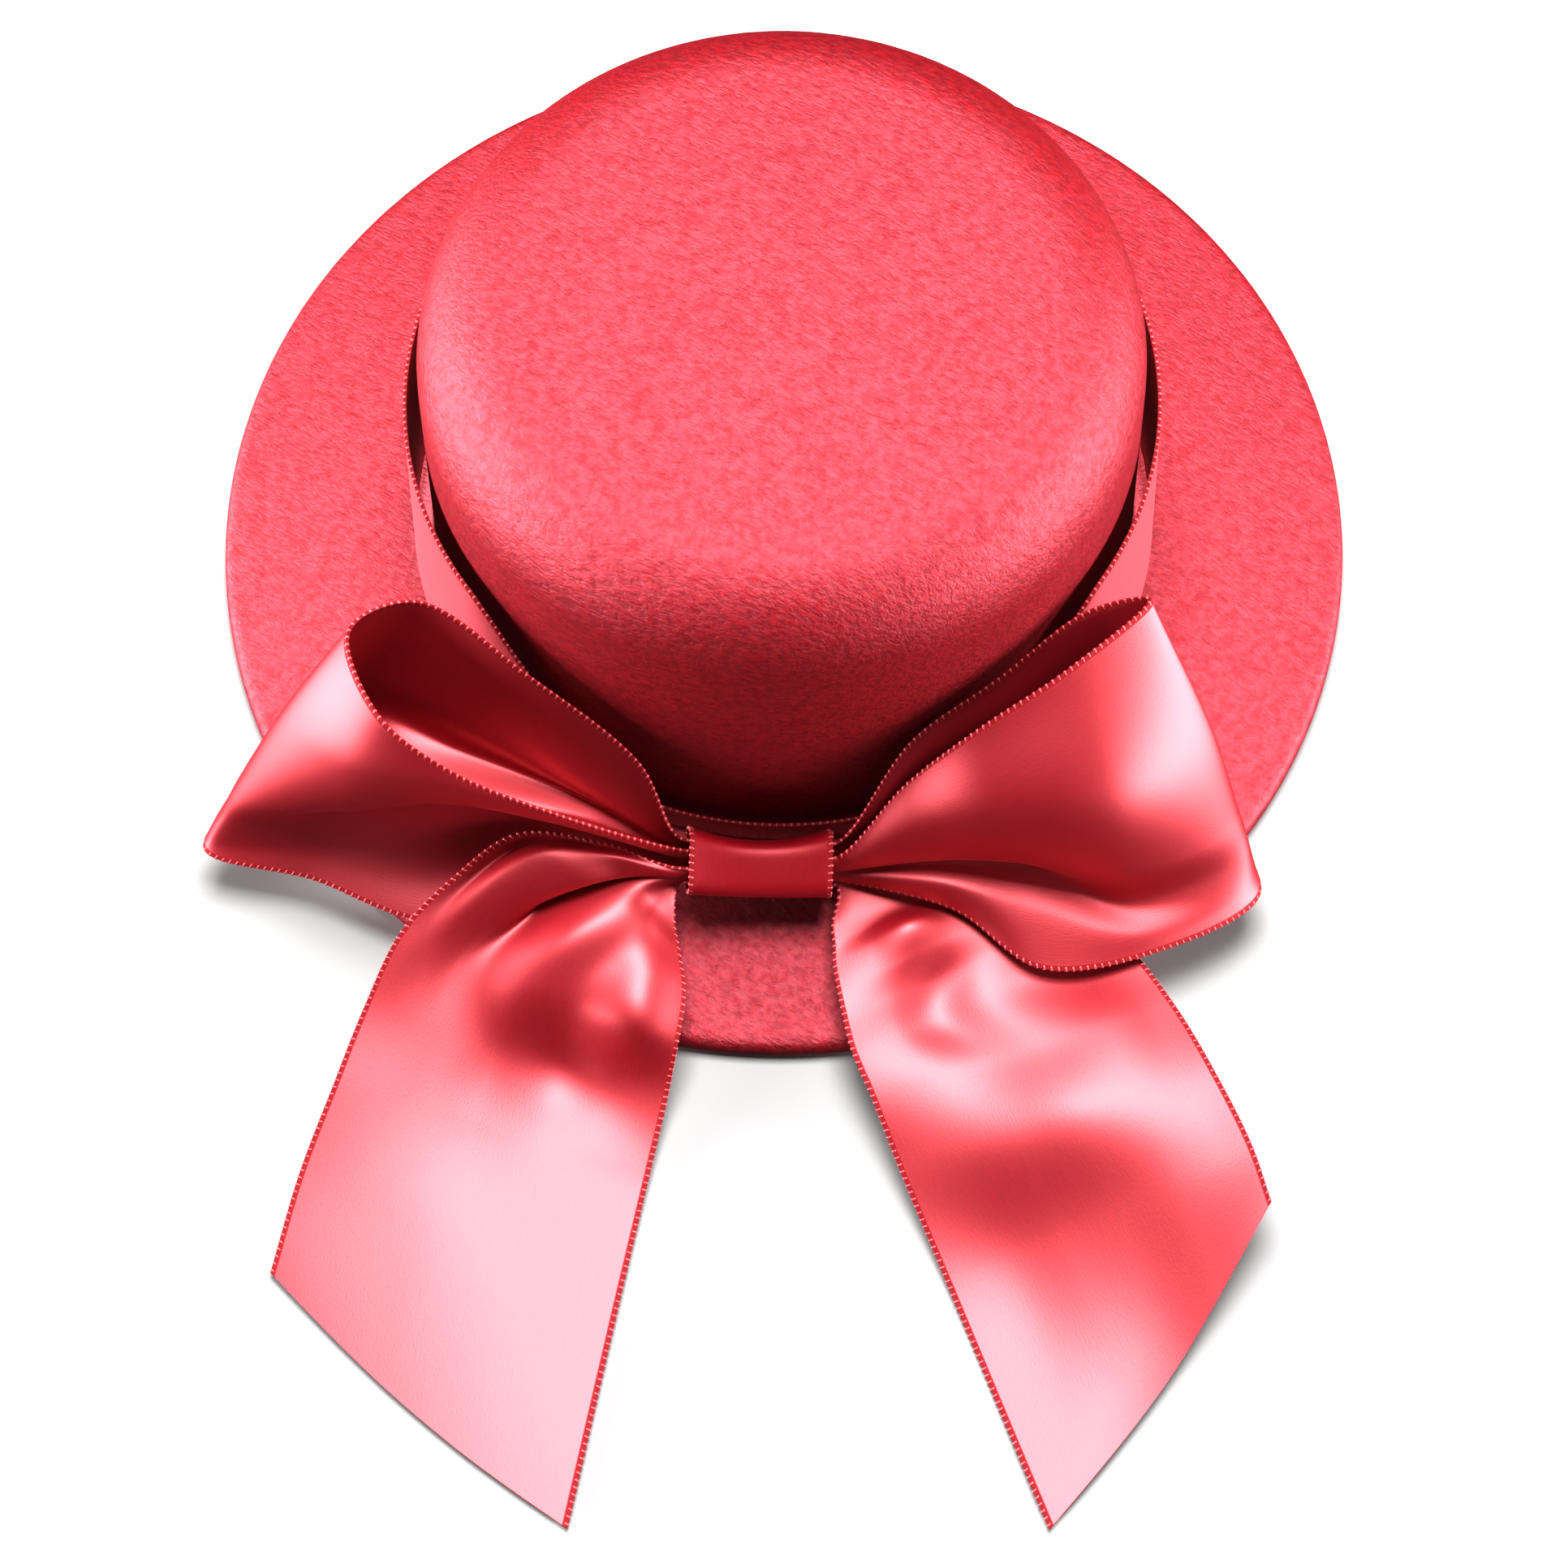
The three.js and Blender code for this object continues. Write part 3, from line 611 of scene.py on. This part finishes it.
def thread_material():
    """Glossy thread of the selvage's picots."""
    material, nodes, links, shader = node_material("thread")
    place = nodes.new("ShaderNodeTexCoord").outputs["Object"]
    twist = noise_node(nodes, links, place, scale=TWIST_CELLS, detail=2, roughness=0.5)
    colour = ramp_node(nodes, links, twist, [(0.3, THREAD_DARK), (0.7, THREAD_PALE)])
    links.new(colour, shader.inputs["Base Color"])
    bump = bump_node(nodes, links, twist, strength=0.3, distance=0.00008)
    links.new(bump, shader.inputs["Normal"])
    shader.inputs["Roughness"].default_value = THREAD_ROUGHNESS
    shader.inputs["IOR"].default_value = THREAD_IOR
    shader.inputs["Specular IOR Level"].default_value = 1
    shader.inputs["Specular Tint"].default_value = (*THREAD_TINT, 1)
    return material


def steel_material():
    """Brushed steel of the hair clip."""
    material, nodes, links, shader = node_material("steel")
    place = nodes.new("ShaderNodeTexCoord").outputs["Object"]
    brushed = scaled_node(nodes, links, place, BRUSH_CELLS)
    lines = noise_node(nodes, links, brushed, scale=1, detail=3, roughness=0.6)
    colour = ramp_node(nodes, links, lines, [(0.3, STEEL_DARK), (0.7, STEEL_PALE)])
    links.new(colour, shader.inputs["Base Color"])
    bump = bump_node(nodes, links, lines, strength=0.15, distance=0.00005)
    links.new(bump, shader.inputs["Normal"])
    shader.inputs["Metallic"].default_value = 1
    shader.inputs["Roughness"].default_value = STEEL_ROUGHNESS
    return material


def arc(centre, radius, start, end, count):
    """Points on an arc, angles in degrees."""
    angles = np.radians(np.linspace(start, end, count))
    return [(centre[0] + radius * math.cos(a), centre[1] + radius * math.sin(a)) for a in angles]


def felt_profile():
    """Half section of the hat from the crown's top to the rim and back up inside, at even steps."""
    side_top = HAT_HEIGHT - CROWN_DOME - SHOULDER_RADIUS
    shoulder = CROWN_TOP_RADIUS - SHOULDER_RADIUS
    rim = BRIM_RADIUS - BRIM_EDGE / 2
    fillet = CROWN_BASE_RADIUS + BASE_FILLET
    fillet_z = BRIM_EDGE + BASE_FILLET * math.cos(BRIM_SLOPE)
    fillet_z += (rim - fillet + BASE_FILLET * math.sin(BRIM_SLOPE)) * math.tan(BRIM_SLOPE)
    inside = CROWN_BASE_RADIUS - FELT_WALL
    slope = math.degrees(BRIM_SLOPE)
    radii = np.linspace(0, shoulder, DOME_POINTS)
    outside = [(r, HAT_HEIGHT - CROWN_DOME * (r / shoulder) ** 2) for r in radii]
    outside += arc((shoulder, side_top), SHOULDER_RADIUS, 90, 0, SHOULDER_POINTS)[1:]
    outside += arc((fillet, fillet_z), BASE_FILLET, 180, 270 - slope, FILLET_POINTS)
    outside += arc((rim, BRIM_EDGE / 2), BRIM_EDGE / 2, 90, -90, RIM_POINTS)
    brim_under = fillet_z - BASE_FILLET
    under = [(rim - REST_WIDTH, 0), (fillet, brim_under - FELT_WALL)]
    under += [(inside + INNER_CORNER_OUT, brim_under - INNER_CORNER_DOWN), (inside, fillet_z)]
    under += arc((shoulder, side_top), SHOULDER_RADIUS - FELT_WALL, 0, 90, INNER_POINTS)
    under += [(0, HAT_HEIGHT - FELT_WALL)]
    return resample(outside, FELT_STEP), resample(under, UNDER_STEP)


def resample(points, step):
    """The same line with points about one step apart."""
    points = np.array(points, float)
    length = np.concatenate([[0], np.cumsum(np.linalg.norm(np.diff(points, axis=0), axis=1))])
    even = np.linspace(0, length[-1], int(length[-1] / step) + 1)
    return np.stack([np.interp(even, length, points[:, k]) for k in (0, 1)], axis=1)


def nap_height(point, normal):
    """Height of the felt's ridges at a point, in millimetres. They are lower on upright felt."""
    c, s = math.cos(NAP_ANGLE), math.sin(NAP_ANGLE)
    along = (point[0] * c + point[1] * s) / NAP_LENGTH
    across = (-point[0] * s + point[1] * c) / NAP_WIDTH
    ridge = noise.noise(Vector((along, across, point[2] / NAP_WIDTH)))
    return NAP_DEPTH * ridge * (NAP_ON_SIDE + (1 - NAP_ON_SIDE) * abs(normal[2]))


def felt_body(material):
    """Crown and brim turned from the half section, with the nap's ridges on the outside."""
    outside, under = felt_profile()
    profile = np.concatenate([outside, under[1:]])
    tangent = np.gradient(profile, axis=0)
    turn = unit(np.stack([-tangent[:, 1], tangent[:, 0]], axis=1))
    vertices, rings = [], []
    for i, (radius, z) in enumerate(profile):
        if radius < 1e-6:
            rings.append([len(vertices)] * FELT_SIDES)
            vertices.append((0, 0, z))
            continue
        rings.append(list(range(len(vertices), len(vertices) + FELT_SIDES)))
        for k in range(FELT_SIDES):
            angle = 2 * math.pi * k / FELT_SIDES
            spoke = np.array([math.cos(angle), math.sin(angle)])
            point = np.array([*(radius * spoke), z])
            if i < len(outside) - SMOOTH_RINGS:
                normal = np.array([*(-turn[i, 0] * spoke), -turn[i, 1]])
                point = point + normal * nap_height(point, normal)
            vertices.append(point)
    faces = []
    for lower, upper in zip(rings[:-1], rings[1:]):
        for k in range(FELT_SIDES):
            n = (k + 1) % FELT_SIDES
            corners = list(dict.fromkeys((lower[k], upper[k], upper[n], lower[n])))
            faces.append(tuple(corners))
    return new_object("felt_hat", np.array([tuple(v) for v in vertices]), faces, material)


def band_grid():
    """Middle surface of the ribbon band."""
    angle = np.arange(BAND_SEGMENTS) / BAND_SEGMENTS * 2 * math.pi
    away = np.minimum(angle, 2 * math.pi - angle)
    share = smoothstep(away, BAND_NEAR_KNOT, BAND_FULL_HEIGHT)[:, None]
    top = BAND_TOP_AT_KNOT + (BAND_TOP - BAND_TOP_AT_KNOT) * share
    foot_radius = BAND_RADIUS + (BAND_FOOT_RADIUS - BAND_RADIUS) * share
    rise = np.linspace(0, 1, BAND_ROWS + 1)[None]
    radius = foot_radius + (BAND_RADIUS - foot_radius) * rise
    z = BAND_BOTTOM + (top - BAND_BOTTOM) * rise
    return np.stack([radius * np.sin(angle)[:, None], -radius * np.cos(angle)[:, None], z], axis=-1)


def rounded(wave):
    """A sine or cosine reshaped so that the oval it draws is squarer."""
    return np.sign(wave) * np.abs(wave) ** (2 / KNOT_SQUARE)


def knot_grid():
    """Middle surface of the knot's wrap: an oval carried along X with a slack waist, then turned."""
    angle = np.arange(KNOT_SIDES) / KNOT_SIDES * 2 * math.pi
    along = np.linspace(-0.5, 0.5, KNOT_STEPS + 1)
    waist = 1 - KNOT_WAIST * (1 - 4 * along**2)
    x = np.broadcast_to(along * KNOT_LENGTH, (len(angle), len(along)))
    y = rounded(np.cos(angle))[:, None] * waist * KNOT_DEPTH / 2
    z = rounded(np.sin(angle))[:, None] * waist * KNOT_HEIGHT / 2
    sag = (1 - 4 * along**2)[None, :, None] * np.array(KNOT_SAG)
    tilt = np.array(Matrix.Rotation(KNOT_TILT, 3, "X"))
    roll = np.array(Matrix.Rotation(KNOT_ROLL, 3, "Y"))
    wrap = np.stack([x, y, z], axis=-1) @ tilt.T + sag
    return wrap @ roll.T + np.array(KNOT_CENTRE)


def add_ribbon(node, grid, flat, satin, thread, ring=False):
    """A ribbon and its picots in place of a node. Flat says what is known of the cloth as it was cut."""
    ribbon = sheet_object(node + "_satin", grid, flat["width"], satin, ring)
    edging = picots(node + "_picots", selvages(grid, ring), thread)
    for piece in (ribbon, edging):
        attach(piece, "root")
    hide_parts(node)


def add_camera():
    """Camera at the photograph's angle."""
    camera = bpy.data.objects.new("camera", bpy.data.cameras.new("camera"))
    camera.data.lens = CAMERA_LENS
    camera.data.sensor_width = CAMERA_SENSOR
    camera.data.clip_start = CAMERA_CLIP
    e, r = CAMERA_ELEVATION, CAMERA_ROLL
    right = np.array([1, 0, 0])
    up = np.array([0, math.sin(e), math.cos(e)])
    back = np.array([0, -math.cos(e), math.sin(e)])
    turned_right = right * math.cos(r) + up * math.sin(r)
    turned_up = up * math.cos(r) - right * math.sin(r)
    place = (CAMERA_TARGET + AXIS + back * CAMERA_DISTANCE) * MM
    columns = Matrix([turned_right, turned_up, back]).transposed()
    camera.matrix_world = Matrix.Translation(place) @ columns.to_4x4()
    bpy.context.scene.collection.objects.link(camera)
    bpy.context.scene.camera = camera


def add_light(name, azimuth, elevation, distance, width, height, power):
    """A soft oblong light aimed at the hat."""
    light = bpy.data.lights.new(name, "AREA")
    light.shape = "RECTANGLE"
    light.size = width
    light.size_y = height
    light.energy = power
    lamp = bpy.data.objects.new(name, light)
    a, e = math.radians(azimuth), math.radians(elevation)
    back = Vector((math.sin(a) * math.cos(e), math.cos(a) * math.cos(e), math.sin(e)))
    lamp.location = Vector((AXIS + LIGHT_AIM) * MM) + back * distance
    lamp.rotation_mode = "QUATERNION"
    lamp.rotation_quaternion = back.to_track_quat("Z", "Y")
    lamp.visible_camera = False
    bpy.context.scene.collection.objects.link(lamp)


def add_floor():
    """A plain pale floor."""
    mesh = bpy.data.meshes.new("floor")
    r = FLOOR_REACH
    mesh.from_pydata([(-r, -r, 0), (r, -r, 0), (r, r, 0), (-r, r, 0)], [], [(0, 1, 2, 3)])
    material, _, _, shader = node_material("floor")
    shader.inputs["Base Color"].default_value = (*grey(FLOOR_GREY), 1)
    shader.inputs["Roughness"].default_value = FLOOR_ROUGHNESS
    shader.inputs["Specular IOR Level"].default_value = 0
    mesh.materials.append(material)
    floor = bpy.data.objects.new("floor", mesh)
    bpy.context.scene.collection.objects.link(floor)
    floor.visible_glossy = False


def add_world():
    """Faint even light from all round, and how the picture is shown."""
    scene = bpy.context.scene
    world = bpy.data.worlds.new("world")
    world.use_nodes = True
    background = world.node_tree.nodes["Background"]
    background.inputs["Color"].default_value = (*WHITE, 1)
    background.inputs["Strength"].default_value = WORLD_STRENGTH
    scene.world = world
    scene.view_settings.view_transform = "Standard"
    scene.view_settings.gamma = VIEW_GAMMA


felt = felt_material()
satin = satin_material("satin", *BOW_SATIN)
band_painted_highlight_satin = satin_material("band_painted_highlight_satin", *BAND_PAINTED_HIGHLIGHT_SATIN)
knot_satin = satin_material("knot_satin", *KNOT_SATIN)
thread = thread_material()
steel = steel_material()

hat = felt_body(felt)
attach(hat, "root")
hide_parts("felt_body")

loop_left = ribbon_grid(LOOP_LEFT, LOOP_STEPS, OUT_ON_LEFT)
loop_right = ribbon_grid(LOOP_RIGHT, LOOP_STEPS, OUT_ON_RIGHT)
tail_left = ribbon_grid(TAIL_LEFT, TAIL_STEPS, OUT_ON_LEFT, CUT_BOW_LEFT)
tail_right = ribbon_grid(TAIL_RIGHT, TAIL_STEPS, OUT_ON_RIGHT, CUT_BOW_RIGHT)
add_ribbon("ribbon_band", band_grid(), BAND_FLAT, band_painted_highlight_satin, thread, ring=True)
add_ribbon("bow_loop_left", loop_left, LOOP_LEFT_FLAT, satin, thread)
add_ribbon("bow_loop_right", loop_right, LOOP_RIGHT_FLAT, satin, thread)
add_ribbon("bow_tail_left", tail_left, TAIL_LEFT_FLAT, satin, thread)
add_ribbon("bow_tail_right", tail_right, TAIL_RIGHT_FLAT, satin, thread)
add_ribbon("bow_knot", knot_grid(), KNOT_FLAT, knot_satin, thread, ring=True)

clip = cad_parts["hair_clip"]
clip.material_slots[0].link = "OBJECT"
clip.material_slots[0].material = steel

add_camera()
add_floor()
for row in LIGHTS:
    add_light(*row)
add_world()
